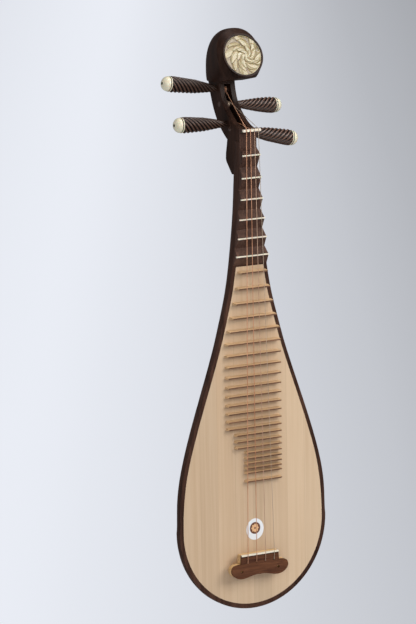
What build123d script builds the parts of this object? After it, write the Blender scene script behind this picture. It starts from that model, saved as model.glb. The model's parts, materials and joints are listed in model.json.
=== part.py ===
from build123d import *
import math
import os

# A pipa, the four-stringed pear-shaped lute. Millimetres.
# +Z runs up the neck from the bottom of the body, +X is to the right for someone facing
# the soundboard, and the soundboard looks along -Y. The soundboard's face is y = FACE_Y.

# ---- driving dimensions -------------------------------------------------------------
STRING_LENGTH = 740.0       # saddle to nut
SADDLE_Z = 104.0            # heights here get LIFT added at the end
BODY_HALF, WIDEST_Z = 148.0, 148.0      # half width of the body, and where it is widest
BODY_DROP = 151.0           # from the widest point down to the bottom, half an ellipse
RIM, RIM_BOTTOM = 7.5, 8.5  # hardwood edge that shows round the soundboard
SIDE = 10.0                 # straight part of the body's side, before the back rounds in
BODY_WALL = 6.0             # thickness of the hollowed back
LEDGE = 6.0                 # shelf under the edge of the soundboard
BOARD = 5.0                 # soundboard thickness
BOARD_TOP_Z = 608.0         # the soundboard ends here and the playing blocks begin
CAVITY_TOP_Z = 585.0
NECK_TOP_Z = 826.0          # seam between the neck and the pegbox
STAVES = 8

# Height, half width and depth of the body and neck, from the widest point up to the seam.
STATIONS = [
    (WIDEST_Z, BODY_HALF, 45.0), (200, 145.8, 44.6), (254, 137.5, 44.0), (299, 125.2, 43.0),
    (344, 110.6, 41.8), (389, 94.9, 40.4), (433, 79.5, 38.8), (476, 65.5, 37.0),
    (519, 53.5, 35.4), (561, 42.9, 34.4), (608, 34.6, 33.6), (658, 28.0, 33.2),
    (726, 21.4, 33.0), (790, 17.4, 33.0), (826, 17.2, 33.0),
]

FRETTED_BLOCKS = 6          # xiang, the blocks on the neck
PINS = 24                   # pin, the strips on the soundboard
BLOCK_TALL, BLOCK_SLOPE = 13.8, 0.34    # ridge height of block 1, and its fall per block
VALLEY = 0.56               # where the valley lies between one ridge and the next
FIRST_VALLEY = 0.72         # the same, between the nut and the first ridge
BLOCK_BASE = 1.0            # height of a block in the valley
EDGE_WIDE, EDGE_DEEP = 2.4, 2.8         # bone strip on a ridge
PIN_TALL, PIN_SHORT = 12.3, 9.1         # height of the first and the last pin
PIN_BASE, PIN_CREST = 4.8, 2.3          # pin width at the soundboard and at its crest
LONG_PINS, MID_PINS = 15, 18            # the last pin of the full length, and of the next
PIN_LEFT, PIN_RIGHT = 52.6, 55.0        # reach of the long pins on each side
PIN_LEFT_MID, PIN_LEFT_LOW = 36.2, 16.8 # left reach of pins 16 to 18, and of the rest
PIN_INSETS = 12.0, 6.0      # the upper pins stop this far inside the body, left and right
PIN_BEVEL = 0.8

NUT_HIGH, NUT_LOW_Z, NUT_REAR_Z = 16.7, 844.0, 848.0
NUT_DEEP = 5.0
NUT_PLATE, NUT_SLOPE = 1.6, 5.0         # plate below the nut, and the run of its step

BRIDGE_X, BRIDGE_Z = -1.5, 101.5        # middle of the bridge's top edge
BRIDGE_HIGH = 24.0          # front of the bridge above the soundboard
BRIDGE_FACE = 3.5           # rosewood facing
BRIDGE_PLATE = 9.5          # pale wood behind the facing
BRIDGE_FOOT_INSET = 6.0
SADDLE_HALF, SADDLE_HIGH, SADDLE_WIDE, SADDLE_DEEP = 37.5, 25.3, 2.6, 3.0
TIE_HOLE_DROP, TIE_HOLE_R = 15.3, 1.7
SHOULDER_HOLE_X, SHOULDER_HOLE_DROP, SHOULDER_HOLE_R = 36.8, 29.5, 2.6

STRING_SPACING_NUT, STRING_SPACING_SADDLE = 7.9, 17.9
STRING_R = [0.70, 0.60, 0.52, 0.45]
SEAT = 0.15                 # how far a string settles into the nut and saddle

PEGBOX_HALF = 16.25
SLOT_HALF = 6.3
SHAFT_R = 5.0
BORE_GAP = 0.05             # radial running clearance of a peg
BORE_LONG = 60.0            # more than the pegbox is wide, even on a slant
SHAFT_END = -16.0           # inner end of the shaft, flush with the far wall
PEG_OUTLINE = [(6.6, 24), (8.8, 40), (11.6, 60)]    # radius and distance along the peg
PEG_SHOULDER_R, PEG_THICK_R, PEG_END_R = 13.4, 14.3, 13.6
PEG_RING, RING_R, CAP_R, CAP_TALL = 1.6, 13.6, 13.0, 11.5
DOT_R, DOT_DEEP = 2.9, 1.5
DOME_ANGLES = [math.radians(a) for a in (0, 15, 30, 45, 60, 72, 81)]
# name, side, y and z where the axis crosses the middle, rise along the axis, reach, string x
PEGS = [
    ("1", -1, 78.0, 907.0, 0.165, 125.0, -3.0),
    ("2", +1, 68.5, 882.5, -0.095, 108.0, 2.6),
    ("3", -1, 48.3, 851.0, 0.050, 118.0, -1.6),
    ("4", +1, 33.0, 842.0, -0.220, 121.0, 1.8),
]
STRING_TO_PEG = ["1", "3", "4", "2"]

MEDAL_CENTRE_Y, MEDAL_CENTRE_Z, MEDAL_TILT = 12.7, 972.6, 22.0
MEDAL_R, MEDAL_SUNK, MEDAL_PROUD = 35.5, 5.0, 3.0
HEAD_RIM_R = 39.5
HEAD_BOTTOM_Z = 923.0
HEAD_POINTS = 20

LABEL_X, LABEL_Z, LABEL_HALF_X, LABEL_HALF_Z, LABEL_THICK = 3.0, 138.7, 17.4, 19.2, 0.25

# The model is moved so that y = 0 is the middle of its depth and z = 0 its lowest point.
DEEPEST_Y = 108.0
FOREMOST = SADDLE_HIGH + 2 * STRING_R[0] - SEAT
FACE_Y = -(DEEPEST_Y - FOREMOST) / 2
LIFT = BODY_DROP - WIDEST_Z


# ---- helpers ------------------------------------------------------------------------
def fret_z(number):
    """Height of the fret that is this many semitones above the nut."""
    return SADDLE_Z + STRING_LENGTH * 2 ** (-number / 12)


def half_width(z):
    """Half width of the body and neck at height z."""
    if z < WIDEST_Z:
        return BODY_HALF * math.sqrt(1 - ((WIDEST_Z - z) / BODY_DROP) ** 2)
    for (z0, w0, _), (z1, w1, _) in zip(STATIONS, STATIONS[1:]):
        if z <= z1:
            return w0 + (w1 - w0) * (z - z0) / (z1 - z0)
    return STATIONS[-1][1]


def front_face(inset, bottom_inset, top_z):
    """The outline seen from the front, drawn in from the edge, up to top_z."""
    points = [(w - inset, z) for z, w, _ in STATIONS if z < top_z - 1]
    points.append((half_width(top_z) - inset, top_z))
    arc = EllipticalCenterArc((0, WIDEST_Z), BODY_HALF - inset, BODY_DROP - bottom_inset,
                              start_angle=180, arc_size=180)
    end_slope = (points[-1][0] - points[-2][0], top_z - points[-2][1])
    right = Spline(points, tangents=[(0, 1), end_slope])
    left = mirror(right, about=Plane.YZ)
    top = Line(right @ 1, left @ 1)
    return Plane.XZ * make_face([arc, right, top, left])


def hull_section(z, w, side, depth, y0):
    """One cross section of the body: flat front, straight sides, elliptical back."""
    lines = Polyline((-w, side), (-w, y0), (w, y0), (w, side))
    arc = EllipticalCenterArc((0, side), w, depth - side, start_angle=0, arc_size=180)
    return Pos(0, 0, z) * make_face([*lines.edges(), *arc.edges()])


def bowl(inset, wall, y0, top_z):
    """The solid shape of body and neck, or of the hollow inside it."""
    radius = BODY_HALF - inset
    depth0 = STATIONS[0][2] - wall
    lines = Polyline((0, depth0), (0, y0), (radius, y0), (radius, SIDE))
    arc = EllipticalCenterArc((0, SIDE), radius, depth0 - SIDE, start_angle=0, arc_size=90)
    half = make_face([*lines.edges(), *arc.edges()])
    dome = revolve(half, Axis.Y, 180)
    if dome.bounding_box().max.Z > 1:
        dome = revolve(half, Axis.Y, -180)
    stretch = (BODY_DROP - inset) / radius
    bottom = Pos(0, 0, WIDEST_Z) * scale(dome, by=(1, 1, stretch))
    sections = [hull_section(z, w - inset, SIDE, d - wall, y0) for z, w, d in STATIONS if z <= top_z]
    return bottom + loft(sections)


def side_profile(points, half, x_mid=0.0):
    """A prism across the instrument from a side view given as (y, z) points."""
    outline = make_face(Polyline(*points, close=True).edges())
    return Pos(x_mid - half, 0, 0) * extrude(Plane.YZ * outline, amount=2 * half)


def block(x0, x1, y0, y1, z0, z1):
    return Pos((x0 + x1) / 2, (y0 + y1) / 2, (z0 + z1) / 2) * Box(x1 - x0, y1 - y0, z1 - z0)


def rod(start, end, radius):
    run = Vector(*end) - Vector(*start)
    plane = Plane(origin=start, z_dir=run)
    return plane * Cylinder(radius, run.length, align=(Align.CENTER, Align.CENTER, Align.MIN))


def pieces(shape):
    return [shape] if isinstance(shape, Solid) else list(shape.solids())


nodes = {}


# ---- body ---------------------------------------------------------------------------
def soundboard():
    """Paulownia staves, glued edge to edge, let into the rim."""
    board = extrude(front_face(RIM, RIM_BOTTOM, BOARD_TOP_Z), amount=-BOARD)
    stave = 2 * (BODY_HALF - RIM) / STAVES
    strips = []
    for i in range(STAVES):
        x0 = -(BODY_HALF - RIM) + i * stave
        strip = board & block(x0, x0 + stave, 0, BOARD, 0, BOARD_TOP_Z)
        strips += pieces(strip)
    return board, strips


def back_shell(board):
    """Body and neck carved from one block, hollowed, with a ledge for the soundboard."""
    outer = bowl(0, 0, 0, NECK_TOP_Z)
    hollow = bowl(RIM + LEDGE, BODY_WALL, BOARD, CAVITY_TOP_Z)
    return outer, outer - hollow - board, hollow


def bracing(hollow):
    """Three cross bars under the soundboard and two posts down to the back."""
    solids = []
    for z, tall in ((210, 14), (330, 13), (450, 11)):
        bar = block(-BODY_HALF, BODY_HALF, BOARD, BOARD + tall, z - 4, z + 4)
        solids += pieces(bar & hollow)
    for z in (150, 270):
        post = Pos(0, 0, z) * Rot(-90, 0, 0) * Cylinder(5, 80)
        solids += pieces(post & hollow & block(-20, 20, BOARD, 80, z - 10, z + 10))
    return solids


# ---- frets --------------------------------------------------------------------------
def block_height(k):
    return BLOCK_TALL - BLOCK_SLOPE * (k - 1)


def fretted_block(k, neck_prism):
    """One xiang: a wedge across the neck, with a bone strip let into its ridge."""
    z = fret_z(k)
    valley = FIRST_VALLEY if k == 1 else VALLEY
    above = fret_z(k - 1) - valley * (fret_z(k - 1) - z)
    below = z - VALLEY * (z - fret_z(k + 1))
    tall = block_height(k)
    crest = tall - 0.6
    wedge = side_profile(
        [(0, below), (-BLOCK_BASE, below), (-crest, z - EDGE_WIDE / 2),
         (-crest, z + EDGE_WIDE / 2), (-BLOCK_BASE, above), (0, above)], 60)
    wide = half_width(z) + 0.4
    edge = block(-wide, wide, -tall, EDGE_DEEP - tall, z - EDGE_WIDE / 2, z + EDGE_WIDE / 2)
    return (wedge & neck_prism) - edge, edge


def pin(k):
    """One pin: a bamboo strip with sloping flanks, shorter on the bass side low down."""
    number = FRETTED_BLOCKS + k + (k == PINS)      # the last pin leaves out a semitone
    z = fret_z(number)
    tall = PIN_TALL + (PIN_SHORT - PIN_TALL) * (k - 1) / (PINS - 1)
    reach = min(half_width(z) - PIN_INSETS[1], PIN_RIGHT)
    left = min(half_width(z) - PIN_INSETS[0], PIN_LEFT)
    if k > LONG_PINS:
        left = PIN_LEFT_MID if k <= MID_PINS else PIN_LEFT_LOW
    base, crest, bevel = PIN_BASE / 2, PIN_CREST / 2, PIN_BEVEL
    bar = side_profile([(0, z - base), (-tall, z - crest), (-tall, z + crest), (0, z + base)],
                       (reach + left) / 2, (reach - left) / 2)
    ends = make_face(Polyline((-left, 0), (-left + bevel, -tall), (reach - bevel, -tall),
                              (reach, 0), close=True).edges())
    return bar & (Pos(0, 0, z - 2 * PIN_BASE) * extrude(ends, amount=4 * PIN_BASE))


# ---- nut and pegbox -----------------------------------------------------------------
def nut_parts():
    below = fret_z(0) - FIRST_VALLEY * (fret_z(0) - fret_z(1))
    crest = NUT_HIGH - 1.2
    base = side_profile([(0, below), (-NUT_PLATE, below), (-NUT_PLATE, NUT_LOW_Z - NUT_SLOPE),
                         (-crest, NUT_LOW_Z), (-crest, NUT_REAR_Z), (0, NUT_REAR_Z)], PEGBOX_HALF + 0.5)
    wide = PEGBOX_HALF + 0.9
    strip = block(-wide, wide, -NUT_HIGH, NUT_DEEP - NUT_HIGH, NUT_LOW_Z, NUT_REAR_Z)
    return base - strip, strip


PEGBOX_FRONT = [(0, 847), (20.5, 855), (41.4, 870.4), (56.6, 887), (64.5, 906), (67.5, 923)]
PEGBOX_BACK = [(106.5, 923), (100, 901), (91, 878), (77.5, 855.4), (63.5, 840), (46, 826)]
SLOT_BACK = [(91, 918), (87.5, 901), (80.5, 881), (69, 860), (57.5, 845), (44, 835)]
SLOT_FLOOR = [(22, 835), (-2, 846.4), (-40, 846.4), (-40, 918)]


def pegbox():
    front = Spline(*PEGBOX_FRONT)
    back = Spline(*PEGBOX_BACK)
    outline = make_face([front, Line(front @ 1, back @ 0), back, Line(back @ 1, (0, 826)),
                         Line((0, 826), front @ 0)])
    body = Pos(-PEGBOX_HALF, 0, 0) * extrude(Plane.YZ * outline, amount=2 * PEGBOX_HALF)
    long_edges = [e for e in body.edges() if e.length > 60 and abs(e.center().X) > PEGBOX_HALF - 0.1]
    body = chamfer(long_edges, 1.5)
    wall = Spline(*SLOT_BACK)
    slot = make_face([wall, Polyline(wall @ 1, *SLOT_FLOOR, wall @ 0)])
    channel = Pos(-SLOT_HALF, 0, 0) * extrude(Plane.YZ * slot, amount=2 * SLOT_HALF)
    body -= channel
    for name, side, y, z, rise, reach, x in PEGS:
        axis = peg_plane(side, y, z, rise)
        body -= axis * Cylinder(SHAFT_R + BORE_GAP, BORE_LONG)
    return body


def peg_plane(side, y, z, rise):
    """Plane whose z axis points out along the peg, at the middle of the pegbox."""
    return Plane(origin=(0, y, z), x_dir=(0, 1, 0), z_dir=(side, 0, rise))


def turned(points):
    """Solid of revolution about z from (radius, height) points, closed on the axis."""
    profile = make_face(Polyline((0, points[0][1]), *points, (0, points[-1][1]), close=True).edges())
    return revolve(Plane.XZ * profile, Axis.Z, 360)


def peg_parts(side, y, z, rise, reach):
    plane = peg_plane(side, y, z, rise)
    end = reach - CAP_TALL - 2 * PEG_RING
    wood = turned([(SHAFT_R, SHAFT_END), (SHAFT_R, 17.6), *PEG_OUTLINE, (PEG_SHOULDER_R, end - 14),
                   (PEG_THICK_R, end - 5), (PEG_END_R, end)])
    white = Pos(0, 0, end) * Cylinder(RING_R, PEG_RING, align=(Align.CENTER, Align.CENTER, Align.MIN))
    black = Pos(0, 0, end + PEG_RING) * Cylinder(CAP_R, PEG_RING,
                                                 align=(Align.CENTER, Align.CENTER, Align.MIN))
    base = end + 2 * PEG_RING
    dome = turned([(CAP_R * math.cos(a), base + CAP_TALL * math.sin(a)) for a in DOME_ANGLES])
    dot = Pos(0, 0, reach - DOT_DEEP) * Cylinder(DOT_R, DOT_DEEP,
                                                 align=(Align.CENTER, Align.CENTER, Align.MIN))
    return plane * wood, [plane * (dome - dot), plane * white], [plane * black, plane * dot]


# ---- head ---------------------------------------------------------------------------
def tilted(y, z, tilt):
    """Plane that faces the front, leaning back by tilt degrees."""
    angle = math.radians(tilt)
    return Plane(origin=(0, y, z), x_dir=(1, 0, 0), z_dir=(0, -math.cos(angle), math.sin(angle)))


def head_section(y, z, tilt, half_x, half_z, power=2.0):
    """One section of the head: an ellipse, or squarer where power is above 2."""
    points = []
    for i in range(HEAD_POINTS):
        angle = 2 * math.pi * i / HEAD_POINTS
        c, s = math.cos(angle), math.sin(angle)
        points.append((half_x * math.copysign(abs(c) ** (2 / power), c),
                       half_z * math.copysign(abs(s) ** (2 / power), s)))
    return tilted(y, z, tilt) * make_face(Spline(*points, periodic=True))


def head_parts(pegbox_solid):
    front = tilted(MEDAL_CENTRE_Y, MEDAL_CENTRE_Z, MEDAL_TILT)
    brim = head_section(25, 971, 19, 43, 49, 2.1)
    bevel = loft([front * Circle(HEAD_RIM_R), brim], ruled=True)
    sections = [
        brim,
        head_section(48, 965, 12, 39, 51, 2.4),
        head_section(76, 955, 4, 33, 48, 2.7),
        head_section(97, 943, 0, 25, 39, 2.7),
        head_section(DEEPEST_Y, 936, 0, 15, 26, 2.4),
    ]
    dome = bevel + loft(sections)
    under = side_profile([(-20, 934.5), (-1, 935.5), (62, HEAD_BOTTOM_Z), (130, HEAD_BOTTOM_Z),
                          (130, 850), (-20, 850)], 80)
    medal = front * (Pos(0, 0, -MEDAL_SUNK) * Cylinder(
        MEDAL_R, MEDAL_SUNK + MEDAL_PROUD, align=(Align.CENTER, Align.CENTER, Align.MIN)))
    rim = front * (Pos(0, 0, -2) * Cylinder(
        HEAD_RIM_R - 1, 2 + MEDAL_PROUD, align=(Align.CENTER, Align.CENTER, Align.MIN)))
    return (dome + rim) - under - medal - pegbox_solid, medal


def pillow(neck_solid):
    """Phoenix pillow: the carved bump behind the top of the neck."""
    bump = side_profile([(10, 766), (33, 766), (50, 785), (52, 791), (51, 802), (48, 815),
                         (46, NECK_TOP_Z), (10, NECK_TOP_Z)], 15.5)
    long_edges = [e for e in bump.edges() if abs(e.center().X) > 15 and e.center().Y > 40]
    bump = fillet(long_edges, 4.0)
    return bump - neck_solid


# ---- bridge and strings -------------------------------------------------------------
def on_bridge(x, drop):
    """Where a point of the bridge, given from the middle of its top edge, lies in x and z."""
    return BRIDGE_X + x, BRIDGE_Z - drop


def bridge_outline(inset=0.0):
    """Front view of the bridge: a straight top edge, scalloped wings, a shallow arch below."""
    side = SADDLE_HALF + 1 - inset
    top = [(0, -inset), (SADDLE_HALF - inset, -inset), (side, -16.5)]
    wing = Spline((side, -16.5), (46 - inset, -16.8 - inset), (54.5 - inset, -20 - inset),
                  (57 - inset, -29), (50 - inset, -38.5 + inset), (39, -42.5 + inset),
                  (18, -39.5 + inset), (0, -38 + inset))
    edges = [*Polyline(*top).edges(), wing, Line((0, -38 + inset), (0, -inset))]
    right = make_face(edges)
    whole = right + mirror(right, about=Plane.YZ)
    return Plane.XZ * (Pos(BRIDGE_X, BRIDGE_Z) * whole)


def string_x(i):
    """Place of string i along the bridge and along the nut."""
    place = i - 1.5
    return place * STRING_SPACING_SADDLE - BRIDGE_X, place * STRING_SPACING_NUT


def bridge_parts():
    outline = bridge_outline()
    inner_y = BRIDGE_HIGH - BRIDGE_FACE
    foot_y = inner_y - BRIDGE_PLATE
    face = Pos(0, -inner_y, 0) * extrude(outline, amount=BRIDGE_FACE)
    plate = Pos(0, -foot_y, 0) * extrude(outline, amount=BRIDGE_PLATE)
    foot = extrude(bridge_outline(BRIDGE_FOOT_INSET), amount=foot_y + 0.5)
    body = plate + foot
    saddle = Pos(BRIDGE_X, 0, BRIDGE_Z) * block(
        -SADDLE_HALF, SADDLE_HALF, -SADDLE_HIGH, SADDLE_DEEP - BRIDGE_HIGH, -SADDLE_WIDE, 0)
    holes = [(string_x(i)[0], TIE_HOLE_DROP, TIE_HOLE_R, 9) for i in range(4)]
    holes += [(x, SHOULDER_HOLE_DROP, SHOULDER_HOLE_R, 6) for x in (-SHOULDER_HOLE_X, SHOULDER_HOLE_X)]
    for along, drop, radius, deep in holes:
        x, z = on_bridge(along, drop)
        hole = rod((x, -BRIDGE_HIGH - 6, z), (x, deep - BRIDGE_HIGH, z), radius)
        face -= hole
        body -= hole
    return face - saddle, body, saddle


def tangent_point(y, z, cy, cz, radius):
    """Where a line from (y, z) touches a circle on its upper front side."""
    dy, dz = cy - y, cz - z
    far = math.hypot(dy, dz)
    angle = math.atan2(dz, dy) + math.asin(radius / far)
    reach = math.sqrt(far ** 2 - radius ** 2)
    return y + reach * math.cos(angle), z + reach * math.sin(angle)


def string(i):
    """From the tie hole, over the saddle and the nut, to the front of its peg's shaft."""
    r = STRING_R[i]
    along, x1 = string_x(i)
    hole_x, hole_z = on_bridge(along, TIE_HOLE_DROP)
    rest_x, rest_z = on_bridge(along, SADDLE_WIDE / 2)
    saddle_y = -(SADDLE_HIGH + r - SEAT)
    nut_y = -(NUT_HIGH + r - SEAT)
    _, side, cy, cz, rise, _, peg_x = next(p for p in PEGS if p[0] == STRING_TO_PEG[i])
    shaft_z = cz + rise * side * peg_x
    ty, tz = tangent_point(nut_y, NUT_REAR_Z + r, cy, shaft_z, SHAFT_R + 0.4 + r)
    path = [(hole_x, -18.0, hole_z), (hole_x, -(BRIDGE_HIGH + r + 0.2), hole_z),
            (rest_x, saddle_y, rest_z), (x1, nut_y, NUT_REAR_Z + r * 0.6),
            (peg_x, ty, tz)]
    shape = rod(path[0], path[1], r)
    for a, b in zip(path[1:], path[2:]):
        shape += rod(a, b, r)
        shape += Pos(*a) * Sphere(r)
    return shape


# ---- assembly -----------------------------------------------------------------------
board, staves = soundboard()
outer, shell, hollow = back_shell(board)
neck_prism = extrude(front_face(0.2, 0.2, NECK_TOP_Z), amount=40)
strings = [string(i) for i in range(4)]
pegbox_solid = pegbox()
nut_base, nut = nut_parts()
bridge_face, bridge_body, saddle = bridge_parts()
for one in strings:
    nut -= one
    nut_base -= one
    saddle -= one
head, medal = head_parts(pegbox_solid)

nodes["back_shell"] = [shell]
nodes["soundboard"] = staves
nodes["inner_bracing"] = bracing(hollow)
nodes["pegbox"] = [pegbox_solid]
nodes["head"] = [head]
nodes["head_medallion"] = [medal]
nodes["phoenix_pillow"] = [pillow(outer)]
nodes["nut_base"] = [nut_base]
nodes["nut"] = [nut]
nodes["block_edges"] = []
for k in range(1, FRETTED_BLOCKS + 1):
    wedge, edge = fretted_block(k, neck_prism)
    nodes[f"fret_block_{k}"] = [wedge]
    nodes["block_edges"].append(edge)
for k in range(1, PINS + 1):
    nodes[f"fret_pin_{k:02d}"] = [pin(k)]
nodes["bridge_face"] = [bridge_face]
nodes["bridge_body"] = [bridge_body]
nodes["bridge_saddle"] = [saddle]
for i, one in enumerate(strings):
    nodes[f"string_{i + 1}"] = [one]
for name, side, y, z, rise, reach, x in PEGS:
    wood, bone, ebony = peg_parts(side, y, z, rise, reach)
    nodes[f"peg_{name}"] = [wood]
    nodes[f"peg_cap_{name}"] = bone
    nodes[f"peg_inlay_{name}"] = ebony
label_face = Plane.XZ * (Pos(LABEL_X, LABEL_Z) * Ellipse(LABEL_HALF_X, LABEL_HALF_Z))
nodes["label"] = [extrude(label_face, amount=LABEL_THICK)]

os.makedirs("parts", exist_ok=True)
for name, shapes in nodes.items():
    solids = [s for shape in shapes for s in pieces(shape)]
    placed = [Pos(0, FACE_Y, LIFT) * s for s in solids]
    export_step(placed[0] if len(placed) == 1 else Compound(children=placed), f"parts/{name}.step")
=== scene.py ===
"""Looks for the pipa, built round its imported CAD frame. Everything is in metres, in that frame."""
import json
import math

import bpy
import numpy as np
from mathutils import Matrix, Vector


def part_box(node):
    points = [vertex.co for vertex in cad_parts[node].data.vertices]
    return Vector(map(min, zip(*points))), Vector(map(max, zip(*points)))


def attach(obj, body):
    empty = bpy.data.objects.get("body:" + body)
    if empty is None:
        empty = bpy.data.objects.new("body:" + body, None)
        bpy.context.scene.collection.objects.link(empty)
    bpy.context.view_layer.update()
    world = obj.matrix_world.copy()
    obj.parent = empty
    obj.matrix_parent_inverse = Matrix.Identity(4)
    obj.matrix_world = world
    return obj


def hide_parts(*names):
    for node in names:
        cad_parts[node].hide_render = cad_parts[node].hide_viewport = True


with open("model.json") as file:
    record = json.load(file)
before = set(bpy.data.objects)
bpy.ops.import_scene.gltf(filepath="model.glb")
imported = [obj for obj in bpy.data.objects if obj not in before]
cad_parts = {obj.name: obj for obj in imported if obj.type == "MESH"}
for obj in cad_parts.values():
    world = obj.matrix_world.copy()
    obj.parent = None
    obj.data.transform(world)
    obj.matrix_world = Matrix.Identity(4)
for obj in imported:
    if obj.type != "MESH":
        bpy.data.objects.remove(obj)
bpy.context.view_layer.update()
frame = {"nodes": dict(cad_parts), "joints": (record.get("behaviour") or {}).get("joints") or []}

MM = 0.001
ROOT = "instrument"
PEG_NAMES = ["1", "2", "3", "4"]

# ---- places read from the frame ------------------------------------------------------
board_low, board_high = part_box("soundboard")
HALF_BOARD = (board_high.x - board_low.x) / 2
STAVES = 8
STAVE = 2 * HALF_BOARD / STAVES
label_low, label_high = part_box("label")
medal_low, medal_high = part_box("head_medallion")
PEG_JOINT = {name: next(j for j in frame["joints"] if j["name"] == f"peg_{name}_turn")
             for name in PEG_NAMES}

# ---- dimensions of the CAD part that its boxes don't give --------------------------------
MEDAL_TILT = math.radians(22)             # how far the medallion leans back
MEDAL_R = 35.5 * MM
MEDAL_THICK = 8.0 * MM
SHAFT_R = 5.0 * MM
FLUTES = 9                                # ridges round a peg
FLUTE_TURN = 0.088 / MM                   # twist of the flutes, radians per metre
FLUTE_START = 19 * MM                     # where they begin, from the middle of the pegbox

# ---- camera --------------------------------------------------------------------------
SENSOR = 36.0
FOCAL_LENGTH, LONG_SIDE = 3825.0, 624     # both in steps of the picture's grid
CAMERA_AT = Vector((-3.298, -5.669, 1.751))
LOOK = Vector((0.4874, 0.8536, -0.1839))
ROLL = math.radians(-0.99)

camera_data = bpy.data.cameras.new("photo_camera")
camera_data.sensor_width = SENSOR
camera_data.lens = FOCAL_LENGTH / LONG_SIDE * SENSOR
camera_data.clip_start, camera_data.clip_end = 0.1, 200
camera = bpy.data.objects.new("photo_camera", camera_data)
bpy.context.collection.objects.link(camera)
camera.location = CAMERA_AT
turn = LOOK.to_track_quat("-Z", "Y").to_matrix() @ Matrix.Rotation(ROLL, 3, "Z")
camera.rotation_euler = turn.to_euler()
bpy.context.scene.camera = camera
bpy.context.scene.view_settings.view_transform = "Standard"


# ---- node graph helper ---------------------------------------------------------------
class Graph:
    """A material's node tree, written as nested calls."""

    def __init__(self, name):
        self.material = bpy.data.materials.new(name)
        self.material.use_nodes = True
        self.tree = self.material.node_tree
        self.tree.nodes.clear()

    def node(self, kind, **settings):
        made = self.tree.nodes.new(kind)
        for key, value in settings.items():
            setattr(made, key, value)
        return made

    def plug(self, made, inputs):
        for key, value in inputs.items():
            socket = made.inputs[key]
            if isinstance(value, bpy.types.NodeSocket):
                self.tree.links.new(value, socket)
            else:
                socket.default_value = value
        return made

    def position(self, scale=(1, 1, 1), shift=(0, 0, 0)):
        coordinates = self.node("ShaderNodeTexCoord").outputs["Object"]
        mapping = self.plug(self.node("ShaderNodeMapping"),
                            {"Vector": coordinates, "Scale": scale, "Location": shift})
        return mapping.outputs["Vector"]

    def noise(self, vector, scale=1.0, detail=4.0, rough=0.5, distort=0.0):
        made = self.plug(self.node("ShaderNodeTexNoise"),
                         {"Vector": vector, "Scale": scale, "Detail": detail,
                          "Roughness": rough, "Distortion": distort})
        return made.outputs["Fac"]

    def math(self, operation, a, b=0.0, clamp=False):
        made = self.plug(self.node("ShaderNodeMath", operation=operation, use_clamp=clamp), {0: a, 1: b})
        return made.outputs[0]

    def ramp(self, factor, stops, between="LINEAR"):
        made = self.plug(self.node("ShaderNodeValToRGB"), {"Fac": factor})
        band = made.color_ramp
        band.interpolation = between
        while len(band.elements) < len(stops):
            band.elements.new(0.5)
        for element, (place, colour) in zip(band.elements, stops):
            element.position = place
            element.color = (*colour, 1)
        return made.outputs["Color"]

    def mix(self, factor, a, b, blend="MIX"):
        made = self.node("ShaderNodeMix", data_type="RGBA", blend_type=blend)
        for index, value in ((0, factor), (6, a), (7, b)):
            if isinstance(value, bpy.types.NodeSocket):
                self.tree.links.new(value, made.inputs[index])
            elif index:
                made.inputs[index].default_value = (*value, 1)
            else:
                made.inputs[index].default_value = value
        return made.outputs[2]

    def split(self, vector):
        return self.plug(self.node("ShaderNodeSeparateXYZ"), {"Vector": vector}).outputs

    def bump(self, height, strength, distance):
        made = self.plug(self.node("ShaderNodeBump"),
                         {"Height": height, "Strength": strength, "Distance": distance})
        return made.outputs["Normal"]

    def finish(self, **inputs):
        named = {key.replace("_", " "): value for key, value in inputs.items()}
        shader = self.plug(self.node("ShaderNodeBsdfPrincipled"), named)
        output = self.node("ShaderNodeOutputMaterial")
        self.tree.links.new(shader.outputs[0], output.inputs[0])
        return self.material


# ---- materials -----------------------------------------------------------------------
def wood(name, dark, light, along="z", rough=0.46, coat=0.03, figure=26.0, pores=520.0, shift=0.0,
         specular=0.12):
    """Dense hardwood: long colour streaks, fine dark pores and a thin oil finish."""
    g = Graph(name)
    long_way = {"x": (0.06, 1, 1), "y": (1, 0.06, 1), "z": (1, 1, 0.06)}[along]
    streak = g.noise(g.position(long_way, (shift,) * 3), figure * 4, 5, 0.6, 0.8)
    bands = g.noise(g.position(long_way, (shift + 3,) * 3), figure, 3, 0.5, 0.3)
    tone = g.math("ADD", g.math("MULTIPLY", streak, 0.55), g.math("MULTIPLY", bands, 0.45))
    middle = tuple((a + b) / 2 for a, b in zip(dark, light))
    colour = g.ramp(tone, [(0.36, dark), (0.5, middle), (0.64, light)])
    pore_way = tuple(0.5 * c for c in long_way)
    pore = g.noise(g.position(pore_way), pores * 2, 2, 0.5)
    pore_mask = g.math("MULTIPLY", g.math("SUBTRACT", pore, 0.60, True), 5.0, True)
    colour = g.mix(pore_mask, colour, tuple(c * 0.45 for c in dark))
    roughness = g.math("ADD", g.math("MULTIPLY", streak, 0.22), rough - 0.11)
    height = g.math("SUBTRACT", g.math("MULTIPLY", streak, 0.4), pore_mask)
    return g.finish(Base_Color=colour, Roughness=roughness, Coat_Weight=coat, Coat_Roughness=0.22,
                    Specular_IOR_Level=specular, Normal=g.bump(height, 0.25, 0.0002))


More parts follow.
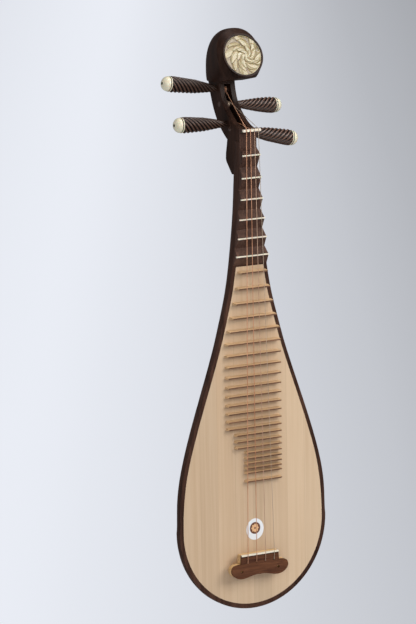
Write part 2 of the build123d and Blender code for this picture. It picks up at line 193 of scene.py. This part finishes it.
def soundboard_material():
    """Raw paulownia: pale staves with straight grain, each a slightly different tint, and painted light
    that makes the board lighter towards +x.
    """
    g = Graph("paulownia")
    across, _, _ = g.split(g.position())
    place = g.math("DIVIDE", g.math("ADD", across, HALF_BOARD), STAVE)
    index = g.math("FLOOR", place)
    inside = g.math("FRACT", place)
    tint = g.plug(g.node("ShaderNodeTexWhiteNoise", noise_dimensions="1D"), {"W": index}).outputs["Value"]
    grain = g.noise(g.position((1, 1, 0.012)), 420, 3, 0.55, 0.15)
    rings = g.noise(g.position((1, 1, 0.02)), 75, 4, 0.6, 0.5)
    cloud = g.noise(g.position((1, 1, 0.3)), 9, 3, 0.5, 0.2)
    colour = g.ramp(rings, [(0.30, (0.515, 0.365, 0.232)), (0.47, (0.552, 0.402, 0.264)),
                            (0.56, (0.575, 0.425, 0.284)), (0.70, (0.530, 0.380, 0.244))])
    colour = g.mix(g.math("MULTIPLY", g.math("SUBTRACT", grain, 0.54, True), 0.9, True),
                   colour, (0.43, 0.29, 0.175))
    colour = g.mix(g.math("MULTIPLY", g.math("SUBTRACT", cloud, 0.45, True), 1.2, True),
                   colour, (0.62, 0.49, 0.34))
    shade = g.math("ADD", 0.945, g.math("MULTIPLY", tint, 0.09))
    # painted light: up to 5 % lighter towards +x, on the key light's side, and as much darker towards -x
    shade = g.math("ADD", shade, g.math("MULTIPLY", across, 0.05 / HALF_BOARD))
    tint_and_painted_light_colour = g.plug(g.node("ShaderNodeCombineColor"), {0: shade, 1: shade, 2: shade}).outputs[0]
    colour = g.mix(1.0, colour, tint_and_painted_light_colour, "MULTIPLY")
    gap = g.math("MINIMUM", inside, g.math("SUBTRACT", 1.0, inside))
    seam = g.math("SUBTRACT", 1.0, g.math("DIVIDE", gap, 0.010), True)
    colour = g.mix(g.math("MULTIPLY", seam, 0.50), colour, (0.30, 0.19, 0.11))
    height = g.math("SUBTRACT", g.math("MULTIPLY", grain, 0.5), seam)
    return g.finish(Base_Color=colour, Roughness=0.62, Specular_IOR_Level=0.35,
                    Normal=g.bump(height, 0.35, 0.0002))


def pin_material():
    """Bamboo strips: pale flanks with fibres along the strip, a dark brown crest, and painted shade in
    the same dark brown on the underside.
    """
    g = Graph("bamboo_pin")
    fibre = g.noise(g.position((0.02, 1, 1)), 900, 3, 0.5)
    mottle = g.noise(g.position((0.3, 1, 1)), 60, 3, 0.5)
    pale = g.ramp(fibre, [(0.35, (0.50, 0.31, 0.15)), (0.65, (0.70, 0.49, 0.28))])
    crest_and_painted_shade = g.ramp(mottle, [(0.35, (0.105, 0.048, 0.026)), (0.7, (0.20, 0.095, 0.048))])
    normal = g.split(g.node("ShaderNodeNewGeometry").outputs["Normal"])
    facing = g.math("ABSOLUTE", normal[1])
    on_crest = g.math("MULTIPLY", g.math("SUBTRACT", facing, 0.9, True), 20.0, True)
    # painted shade: faces turned downwards are coloured dark brown like the crest
    painted_underside_shade = g.math("MULTIPLY", g.math("SUBTRACT", -0.6, normal[2], True), 8.0, True)
    mask = g.math("MAXIMUM", on_crest, g.math("MULTIPLY", painted_underside_shade, 0.7))
    colour = g.mix(mask, pale, crest_and_painted_shade)
    return g.finish(Base_Color=colour, Roughness=0.45, Coat_Weight=0.15,
                    Normal=g.bump(fibre, 0.3, 0.0001))


WARM_FLECK = (0.66, 0.54, 0.36)


def bone(name, base=(0.80, 0.74, 0.60), speckle=0.35):
    """Polished bone: creamy, with faint fibres and small warm flecks."""
    g = Graph(name)
    fleck = g.noise(g.position((1, 1, 0.5)), 420, 4, 0.7)
    cloud = g.noise(g.position(), 60, 3, 0.5)
    mask = g.math("MULTIPLY", g.math("SUBTRACT", fleck, 0.54, True), 6.0 * speckle, True)
    colour = g.mix(mask, g.mix(cloud, base, tuple(c * 0.93 for c in base)), WARM_FLECK)
    return g.finish(Base_Color=colour, Roughness=0.32, Coat_Weight=0.3, Coat_Roughness=0.15,
                    Subsurface_Weight=0.08, Subsurface_Scale=0.002, Normal=g.bump(fleck, 0.12, 0.0001))


# painted shade: the carving's colour darkens with depth, fully at this depth
FULL_SHADE_DEPTH = 3.4 * MM                  # below the face of the medallion


def carved_bone():
    """Carved bone: cream on the high petals, with painted shade darkening it to tea-brown where the
    cutting is deep.
    """
    g = Graph("carved_bone")
    _, _, depth = g.split(g.position())
    # painted shade: the deeper the surface lies in the carving, the darker its colour
    height = g.math("DIVIDE", g.math("ADD", depth, FULL_SHADE_DEPTH), FULL_SHADE_DEPTH, True)
    colour = g.ramp(height, [(0.02, (0.15, 0.10, 0.04)), (0.22, (0.30, 0.235, 0.115)),
                             (0.50, (0.36, 0.30, 0.17)), (0.85, (0.46, 0.41, 0.27))])
    fleck = g.noise(g.position(), 500, 4, 0.6)
    colour = g.mix(g.math("MULTIPLY", g.math("SUBTRACT", fleck, 0.55, True), 1.5, True),
                   colour, (0.50, 0.41, 0.24))
    return g.finish(Base_Color=colour, Roughness=0.34, Coat_Weight=0.35, Coat_Roughness=0.15,
                    Subsurface_Weight=0.08, Subsurface_Scale=0.002, Normal=g.bump(fleck, 0.1, 0.0001))


WIRE_TURNS = 9000.0                       # the string's own wrapping, radians per metre


def string_material(number, low, high):
    """Wound wire; the thickest string is the most copper-coloured."""
    g = Graph(f"wound_string_{number}")
    _, _, along = g.split(g.position())
    turns = g.math("SINE", g.math("MULTIPLY", along, WIRE_TURNS))
    colour = g.ramp(g.noise(g.position(), 30, 2), [(0.35, low), (0.65, high)])
    return g.finish(Base_Color=colour, Metallic=0.55, Roughness=0.42, Normal=g.bump(turns, 0.3, 0.0001))


RING_R, ROSETTE_R, LOBE, EYE_R = 10.6 * MM, 7.0 * MM, 0.9 * MM, 1.8 * MM
LOBES = 8
RING_ABOVE_MIDDLE = 2.0 * MM


def label_material():
    """White paper label: a brown ring round a pale eight-lobed rosette, no lettering."""
    g = Graph("paper_label")
    centre_x = (label_low.x + label_high.x) / 2
    centre_z = (label_low.z + label_high.z) / 2 + RING_ABOVE_MIDDLE
    x, _, z = g.split(g.position(shift=(-centre_x, 0, -centre_z)))
    radius = g.math("SQRT", g.math("ADD", g.math("MULTIPLY", x, x), g.math("MULTIPLY", z, z)))
    angle = g.math("ARCTAN2", z, x)
    lobes = g.math("COSINE", g.math("MULTIPLY", angle, LOBES))
    edge = g.math("ADD", ROSETTE_R, g.math("MULTIPLY", lobes, LOBE))
    in_ring = g.math("LESS_THAN", radius, RING_R)
    in_rosette = g.math("LESS_THAN", radius, edge)
    in_eye = g.math("LESS_THAN", radius, EYE_R)
    colour = g.mix(in_ring, (0.80, 0.83, 0.86), (0.14, 0.05, 0.03))
    colour = g.mix(in_rosette, colour, (0.78, 0.48, 0.26))
    colour = g.mix(in_eye, colour, (0.20, 0.08, 0.045))
    fibre = g.noise(g.position(), 900, 3)
    return g.finish(Base_Color=colour, Roughness=0.35, Coat_Weight=0.2,
                    Normal=g.bump(fibre, 0.05, 0.0001))


def fluted_wood(name, side, painted_light_gain):
    """Peg wood: painted shade, near black, in the valleys between the flutes and a painted highlight on
    their ridges; the whole colour is scaled by a painted-light gain for the peg's side.
    """
    g = Graph(name)
    x, y, along = g.split(g.position())
    angle = g.math("ARCTAN2", y, x)
    run = g.math("MULTIPLY", g.math("SUBTRACT", along, FLUTE_START), side * FLUTE_TURN)
    phase = g.math("MULTIPLY", g.math("ADD", angle, run), FLUTES / 2)
    # ridge: 0 in a valley, 1 on a ridge; used below as painted shade in the valleys and painted highlight
    # on the ridges, while the streak is grain
    ridge = g.math("ABSOLUTE", g.math("SINE", phase))
    streak = g.noise(g.position((1, 1, 0.1)), 260, 4, 0.6, 0.4)
    tone = g.math("ADD", g.math("MULTIPLY", ridge, 0.75), g.math("MULTIPLY", streak, 0.30))
    valley_shade_to_ridge_highlight_tones = [(0.30, (0.004, 0.002, 0.0015)), (0.66, (0.020, 0.010, 0.007)),
             (0.84, (0.070, 0.037, 0.026)), (0.98, (0.140, 0.082, 0.058))]
    colour = g.ramp(tone, [(at, tuple(painted_light_gain * c for c in shade)) for at, shade in valley_shade_to_ridge_highlight_tones])
    return g.finish(Base_Color=colour, Roughness=0.34, Coat_Weight=0.12, Coat_Roughness=0.2,
                    Specular_IOR_Level=0.35, Normal=g.bump(streak, 0.2, 0.0002))


DARK, STREAK = (0.014, 0.0064, 0.0044), (0.046, 0.0205, 0.0125)
rosewood = wood("rosewood", DARK, STREAK)
rosewood_shell = wood("rosewood_shell", (0.024, 0.0108, 0.0076), (0.080, 0.037, 0.024), shift=0.9)
rosewood_head = wood("rosewood_head", (0.012, 0.0056, 0.0042), (0.042, 0.019, 0.012), shift=1.7)
# painted light: the right pegs, on the key light's side, are coloured 1.35 times brighter and the left
# ones 0.95 times
peg_looks = {1: fluted_wood("rosewood_peg_right_painted_lit", 1, 1.35),
             -1: fluted_wood("rosewood_peg_left_painted_shaded", -1, 0.95)}
rosewood_block = wood("rosewood_block", (0.030, 0.015, 0.012), (0.115, 0.060, 0.042), rough=0.42,
                      coat=0.15, figure=50, pores=700)
rosewood_bridge = wood("rosewood_bridge", (0.052, 0.017, 0.008), (0.160, 0.062, 0.027), along="x",
                       rough=0.55, coat=0.0, specular=0.2, figure=70, pores=620)
pale_wood = wood("pale_wood", (0.46, 0.28, 0.12), (0.72, 0.50, 0.26), along="x", rough=0.5, coat=0.05,
                 figure=60, pores=500)
ebony = wood("ebony", (0.006, 0.005, 0.005), (0.016, 0.013, 0.012), rough=0.25, coat=0.5, figure=50)
bone_plain = bone("bone", speckle=0.15)
bone_cap = bone("bone_cap", base=(0.72, 0.67, 0.50), speckle=0.55)
carved = carved_bone()
STRING_COLOURS = [((0.58, 0.28, 0.16), (0.70, 0.38, 0.24)), ((0.56, 0.27, 0.15), (0.70, 0.37, 0.23)),
                  ((0.52, 0.33, 0.23), (0.64, 0.43, 0.31)), ((0.50, 0.39, 0.29), (0.60, 0.48, 0.37))]
string_looks = {n + 1: string_material(n + 1, *pair) for n, pair in enumerate(STRING_COLOURS)}
NODE_LOOKS = {
    "back_shell": rosewood_shell, "pegbox": rosewood, "head": rosewood_head, "phoenix_pillow": rosewood,
    "soundboard": soundboard_material(), "inner_bracing": pale_wood, "nut_base": rosewood_block,
    "nut": bone_plain, "block_edges": bone_plain, "bridge_saddle": bone_plain,
    "bridge_face": rosewood_bridge, "bridge_body": pale_wood, "label": label_material(),
    "head_medallion": carved,
}
PREFIX_LOOKS = {"fret_block": rosewood_block, "fret_pin": pin_material(),
                "peg_cap": bone_cap, "peg_inlay": ebony, "peg": peg_looks[1]}
NODE_LOOKS.update({f"string_{number}": look for number, look in string_looks.items()})
for name, node in frame["nodes"].items():
    look = NODE_LOOKS.get(name) or next(m for p, m in PREFIX_LOOKS.items() if name.startswith(p))
    node.data.materials.clear()
    node.data.materials.append(look)


# ---- mesh helpers --------------------------------------------------------------------
def piece(name, points, faces, material, matrix, body):
    """A mesh object placed by matrix, riding on a body; its flat ends stay flat-shaded."""
    mesh = bpy.data.meshes.new(name)
    mesh.from_pydata([tuple(p) for p in points], [], faces)
    mesh.validate()
    mesh.materials.append(material)
    for polygon in mesh.polygons:
        polygon.use_smooth = len(polygon.vertices) <= 4
    made = bpy.data.objects.new(name, mesh)
    bpy.context.collection.objects.link(made)
    made.matrix_world = matrix
    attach(made, body)
    return made


def closed_faces(rings, around):
    """Quads between closed rings of points, and one face over each end."""
    faces = []
    for i in range(rings - 1):
        for j in range(around):
            k = (j + 1) % around
            faces.append((i * around + j, i * around + k, (i + 1) * around + k, (i + 1) * around + j))
    last = (rings - 1) * around
    faces.append(tuple(range(around - 1, -1, -1)))
    faces.append(tuple(last + j for j in range(around)))
    return faces


def lathe(name, heights, radii, material, matrix, body, around=96, relief=None):
    """A closed turned solid about z; relief(angle, height, radius) may change each radius."""
    angle = np.linspace(0, 2 * math.pi, around, endpoint=False)
    points = []
    for height, radius in zip(heights, radii):
        r = np.full(around, radius) if relief is None else relief(angle, height, radius)
        points += list(zip(r * np.cos(angle), r * np.sin(angle), np.full(around, height)))
    return piece(name, points, closed_faces(len(heights), around), material, matrix, body)


WIRE_SIDES = 10


def tube(name, path, radius, material, matrix, body):
    """A round wire along a path, closed at both ends."""
    path = np.asarray(path, float)
    tangent = np.gradient(path, axis=0)
    tangent /= np.linalg.norm(tangent, axis=1)[:, None]
    side = np.cross(tangent, (0, 0, 1))
    side /= np.linalg.norm(side, axis=1)[:, None]
    up = np.cross(side, tangent)
    points = []
    for centre, s, u in zip(path, side, up):
        for j in range(WIRE_SIDES):
            a = 2 * math.pi * j / WIRE_SIDES
            points.append(centre + radius * (math.cos(a) * s + math.sin(a) * u))
    return piece(name, points, closed_faces(len(path), WIRE_SIDES), material, matrix, body)


# ---- tuning pegs ---------------------------------------------------------------------
CAP_TALL, RING = 11.5 * MM, 1.6 * MM
CAP_R = 12.95 * MM
WHITE_RING_R, RING_BULGE = 13.55 * MM, 0.4 * MM
DOT_R, DOT_TALL = 2.85 * MM, 0.9 * MM
SHAFT_TIP, FLUTE_DEPTH = -16 * MM, 0.25   # inner end of the shaft; depth as a part of the radius
FADE_IN, FADE_OUT = 14 * MM, 2.5 * MM     # over which the flutes appear and end
SHAFT_TOP, HANDLE_LOW = 17 * MM, 17.6 * MM
LOWER_PLACES = [-16, 17.4, 18.4, 24, 40, 60]                    # mm from the middle of the pegbox
LOWER_WIDTHS = [5.0, 5.0, 5.3, 6.6, 9.1, 12.1]
SHOULDER = [(14, 13.9), (5, 14.25), (2, 14.0), (0, 13.4)]       # mm short of the end, radius in mm


def peg_matrix(joint):
    """Local z points out along the peg, local x towards the back; the origin is in the pegbox."""
    out = Vector(joint["axis"]).normalized()
    x = Vector((0, 1, 0))
    y = out.cross(x)
    turned = Matrix((x, y, out)).transposed().to_4x4()
    return Matrix.Translation(Vector(joint["pos_m"])) @ turned


def peg_reach(name, joint):
    """How far the tip of the bone cap is from the middle of the pegbox."""
    origin, out = Vector(joint["pos_m"]), Vector(joint["axis"]).normalized()
    both = frame["nodes"][f"peg_cap_{name}"], frame["nodes"][f"peg_inlay_{name}"]
    return max((v.co - origin).dot(out) for node in both for v in node.data.vertices)


def peg_radius(heights, end):
    """The handle's outline: slim at the pegbox, swelling to a rounded shoulder."""
    places = np.append(np.array(LOWER_PLACES) * MM, [end - short * MM for short, _ in SHOULDER])
    widths = np.append(np.array(LOWER_WIDTHS) * MM, [radius * MM for _, radius in SHOULDER])
    return np.interp(heights, places, widths)


def fluted(side, end):
    """Rounded ridges with sharp valleys, winding up the handle, fading in from the shaft."""
    def relief(angle, height, radius):
        fade_in = min(max((height - FLUTE_START) / FADE_IN, 0), 1)
        fade = fade_in * min(max((end - height) / FADE_OUT, 0.25), 1)
        phase = FLUTES / 2 * (angle + side * FLUTE_TURN * (height - FLUTE_START))
        ridge = np.abs(np.sin(phase)) ** 0.6
        return radius * (1 - FLUTE_DEPTH * fade * (1 - ridge))
    return relief


def build_peg(name):
    """The fluted handle, a white and a black ring, and the bone cap with its black dot."""
    joint = PEG_JOINT[name]
    body = f"tuning_peg_{name}"
    side = 1 if joint["axis"][0] > 0 else -1
    matrix = peg_matrix(joint)
    reach = peg_reach(name, joint)
    end = reach - CAP_TALL - 2 * RING
    heights = np.concatenate([np.linspace(SHAFT_TIP, SHAFT_TOP, 8), np.linspace(HANDLE_LOW, end, 170)])
    handle = lathe(f"peg_{name}_fluted", heights, peg_radius(heights, end), peg_looks[side], matrix,
                   body, 150, fluted(side, end))
    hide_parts(f"peg_{name}")

    def ring(label, low, radius, material):
        place = np.linspace(0, math.pi, 9)
        high = low + RING / 2 * (1 - np.cos(place))
        wide = radius - RING_BULGE * (1 - np.sin(place))
        return lathe(f"peg_{name}_{label}", high, wide, material, matrix, body, 72)

    white = ring("white_ring", end, WHITE_RING_R, bone_cap)
    black = ring("black_ring", end + RING, CAP_R, ebony)
    climb = np.linspace(0, math.pi / 2, 26)[:-1]
    climb = np.append(climb, 1.5)
    base = end + 2 * RING
    dome_tall = CAP_TALL - 0.3 * MM
    dome = lathe(f"peg_{name}_dome", base + dome_tall * np.sin(climb), CAP_R * np.cos(climb) ** 0.92,
                 bone_cap, matrix, body, 72)
    dot_climb = np.linspace(0, math.pi / 2, 7)
    dot = lathe(f"peg_{name}_dot", reach - DOT_TALL * (1 - np.sin(dot_climb)),
                DOT_R * np.clip(np.cos(dot_climb), 0.05, 1) ** 0.5, ebony, matrix, body, 32)
    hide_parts(f"peg_cap_{name}")
    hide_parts(f"peg_cap_{name}")
    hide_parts(f"peg_inlay_{name}")
    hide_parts(f"peg_inlay_{name}")
    return matrix, side


STRING_OF_PEG = {"1": 1, "3": 2, "4": 3, "2": 4}
STRING_R = {1: 0.70 * MM, 2: 0.60 * MM, 3: 0.52 * MM, 4: 0.45 * MM}
TURNS, STEPS_PER_TURN = 4, 28


def build_winding(name, matrix, side):
    """The turns of string on the peg's shaft, beside the point where the string arrives."""
    number = STRING_OF_PEG[name]
    r = STRING_R[number]
    string = frame["nodes"][f"string_{number}"]
    tip = max((v.co for v in string.data.vertices), key=lambda p: p.y)
    local = matrix.inverted() @ tip
    angle = math.atan2(local.y, local.x)
    lean = -1 if local.z > 0 else 1
    steps = np.linspace(0, TURNS * 2 * math.pi, TURNS * STEPS_PER_TURN)
    pitch = 2.15 * r / (2 * math.pi)
    coil_r = SHAFT_R + r * 1.02
    path = np.stack([coil_r * np.cos(angle + side * steps), coil_r * np.sin(angle + side * steps),
                     local.z + lean * pitch * steps], axis=1)
    tube(f"peg_{name}_winding", path, r, string_looks[number], matrix, f"tuning_peg_{name}")


for name in PEG_NAMES:
    place, side = build_peg(name)
    build_winding(name, place, side)


# ---- carved medallion ----------------------------------------------------------------
RELIEF_LOW, RELIEF_HIGH = -3.3 * MM, -0.05 * MM
FLOWER_AT = (6.0 * MM, -2.0 * MM)
HEART_R = 3.6 * MM
GROUND, BORDER_LEVEL = 0.05, 0.62         # heights between 0, the lowest cut, and 1, the highest
BORDER_START, BORDER_RISE = 0.945, 0.025  # as parts of the medallion's radius
GROOVE_DEPTH, GROOVE_WIDE = 0.42, 0.45    # round a petal; wide as a part of its half width
DOME, LEAN, VEIN, VEINS = 0.34, 0.16, 0.05, 7
EDGE_STEPS = [(0.99, -1.35 * MM), (0.998, -2.2 * MM), (0.998, -MEDAL_THICK)]


def carve_petal(height, x, y, angle, long, wide, curl, level):
    """Lay one rounded, swept petal over the relief, with a groove cut round its edge."""
    dx, dy = x - FLOWER_AT[0], y - FLOWER_AT[1]
    far = np.hypot(dx, dy)
    bend = np.arctan2(dy, dx) - angle - curl * far / long
    bend = (bend + math.pi) % (2 * math.pi) - math.pi
    u = far * np.cos(bend) / long
    v = far * np.sin(bend)
    t = np.clip(u, 0, 1)
    half = wide * np.sqrt(np.clip(np.sin(math.pi * t ** 1.3), 0, 1)) + 1e-6
    across = np.hypot(v / half, np.clip((u - 0.9) / 0.1, 0, None) * 0.6)
    inside = (across < 1) & (u > 0) & (u < 1)
    round_top = level + DOME * (1 - across ** 2) + LEAN * v / half + VEIN * np.cos(v / half * VEINS)
    near = np.clip((1 + GROOVE_WIDE - across) / GROOVE_WIDE, 0, 1) * ((u > 0.05) & (u < 1.04))
    sunk = height - GROOVE_DEPTH * near
    return np.where(inside, np.maximum(round_top, 0.1), np.minimum(height, np.maximum(sunk, 0.0)))


# each ring's petals: how many, length and half width in mm, sweep in radians, level
PETAL_RINGS = [(9, 40.0, 8.6, 1.15, 0.20), (7, 30.0, 7.6, 1.35, 0.30), (6, 20.0, 5.8, 1.5, 0.40),
               (4, 12.0, 4.0, 1.7, 0.50)]


def flower_height(x, y):
    """0 on the sunk ground, 1 on the highest petals."""
    height = GROUND * np.ones_like(x)
    for number, (count, long, wide, curl, level) in enumerate(PETAL_RINGS):
        for i in range(count):
            angle = 2 * math.pi * (i + 0.45 * number) / count + 0.12 * math.sin(5.1 * i + count)
            stretch = 1 + 0.10 * math.sin(3.7 * i + count)
            height = carve_petal(height, x, y, angle, long * MM * stretch, wide * MM, curl, level)
    heart = np.hypot(x - FLOWER_AT[0], y - FLOWER_AT[1]) / HEART_R
    return np.where(heart < 1, np.maximum(height, 0.95 - 0.3 * heart ** 2), height)


def build_medallion():
    """The carved disc: a flower in relief inside a plain raised border."""
    middle = (medal_low + medal_high) / 2
    normal = Vector((0, -math.cos(MEDAL_TILT), math.sin(MEDAL_TILT)))
    x_axis = Vector((1, 0, 0))
    y_axis = normal.cross(x_axis)
    turned = Matrix((x_axis, y_axis, normal)).transposed().to_4x4()
    matrix = Matrix.Translation(middle + normal * (MEDAL_THICK / 2)) @ turned
    rings, around = 130, 360
    radius = np.linspace(0.004, 0.975, rings) * MEDAL_R
    angle = np.linspace(0, 2 * math.pi, around, endpoint=False)
    rr, aa = np.meshgrid(radius, angle, indexing="ij")
    x, y = rr * np.cos(aa), rr * np.sin(aa)
    height = flower_height(x, y)
    border = np.clip((rr / MEDAL_R - BORDER_START) / BORDER_RISE, 0, 1)
    border = border * border * (3 - 2 * border)
    height = height * (1 - border) + BORDER_LEVEL * border
    z = RELIEF_LOW + (RELIEF_HIGH - RELIEF_LOW) * np.clip(height, 0, 1)
    points = list(np.stack([x, y, z], axis=-1).reshape(-1, 3))
    for edge_r, edge_z in EDGE_STEPS:
        points += [(MEDAL_R * edge_r * math.cos(a), MEDAL_R * edge_r * math.sin(a), edge_z)
                   for a in angle]
    faces = closed_faces(rings + len(EDGE_STEPS), around)
    disc = piece("medallion_carving", points, faces, carved, matrix, ROOT)
    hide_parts("head_medallion")


build_medallion()


# ---- light and floor -----------------------------------------------------------------
AIM = (0, 0, 0.5)
LIGHTS = [("key", (2.0, -3.4, 2.8), 2.8, 160, (1.0, 0.97, 0.94)),
          ("fill", (-2.6, -3.6, 1.6), 3.0, 66, (1.0, 0.98, 0.96)),
          ("top", (0.3, -0.6, 3.8), 1.6, 60, (1, 1, 1)),
          ("rim", (-2.0, 2.6, 1.8), 1.6, 4, (1, 1, 1))]


def area_light(name, at, size, power, colour):
    """A square light that faces the middle of the instrument."""
    data = bpy.data.lights.new(name, "AREA")
    data.energy, data.size, data.color = power, size, colour
    made = bpy.data.objects.new(name, data)
    made.location = at
    made.rotation_euler = (Vector(AIM) - Vector(at)).to_track_quat("-Z", "Y").to_euler()
    bpy.context.collection.objects.link(made)


for light in LIGHTS:
    area_light(*light)

world = bpy.data.worlds.new("studio")
world.use_nodes = True
surroundings = world.node_tree.nodes["Background"].inputs
surroundings["Color"].default_value = (0.80, 0.80, 0.82, 1)
surroundings["Strength"].default_value = 0.15
bpy.context.scene.world = world

FLOOR_Z, FLOOR_HALF = -0.35, 60.0
SIDEWAYS = (0.868, -0.497)                # level, from left to right as the camera looks
FADE_PER_METRE = 0.4


def floor_material():
    """A seamless pale floor that glows by emission, though it is no lamp, with painted light: bright on
    one side and fading to a darker grey towards the other.
    """
    g = Graph("pale_floor")
    x, y, _ = g.split(g.position())
    sideways = g.math("ADD", g.math("MULTIPLY", x, SIDEWAYS[0]), g.math("MULTIPLY", y, SIDEWAYS[1]))
    place = g.math("ADD", g.math("MULTIPLY", sideways, FADE_PER_METRE), 0.5, True)
    painted_light_greys = [(0.06, 0.78), (0.26, 0.87), (0.36, 0.82), (0.50, 0.71),
             (0.66, 0.55), (0.76, 0.49), (0.95, 0.37)]
    colour = g.ramp(place, [(at, (0.969 * v, v, 1.075 * v)) for at, v in painted_light_greys], "B_SPLINE")
    # the floor's emission glows and lights the instrument from below
    shader = g.plug(g.node("ShaderNodeEmission"), {"Color": colour, "Strength": 1.0})
    output = g.node("ShaderNodeOutputMaterial")
    g.tree.links.new(shader.outputs[0], output.inputs[0])
    return g.material


floor_mesh = bpy.data.meshes.new("floor")
corners = [(-1, -1), (1, -1), (1, 1), (-1, 1)]
floor_points = [(x * FLOOR_HALF, y * FLOOR_HALF, FLOOR_Z) for x, y in corners]
floor_mesh.from_pydata(floor_points, [], [(0, 1, 2, 3)])
floor_mesh.materials.append(floor_material())
floor = bpy.data.objects.new("floor", floor_mesh)
bpy.context.collection.objects.link(floor)
floor.visible_glossy = False
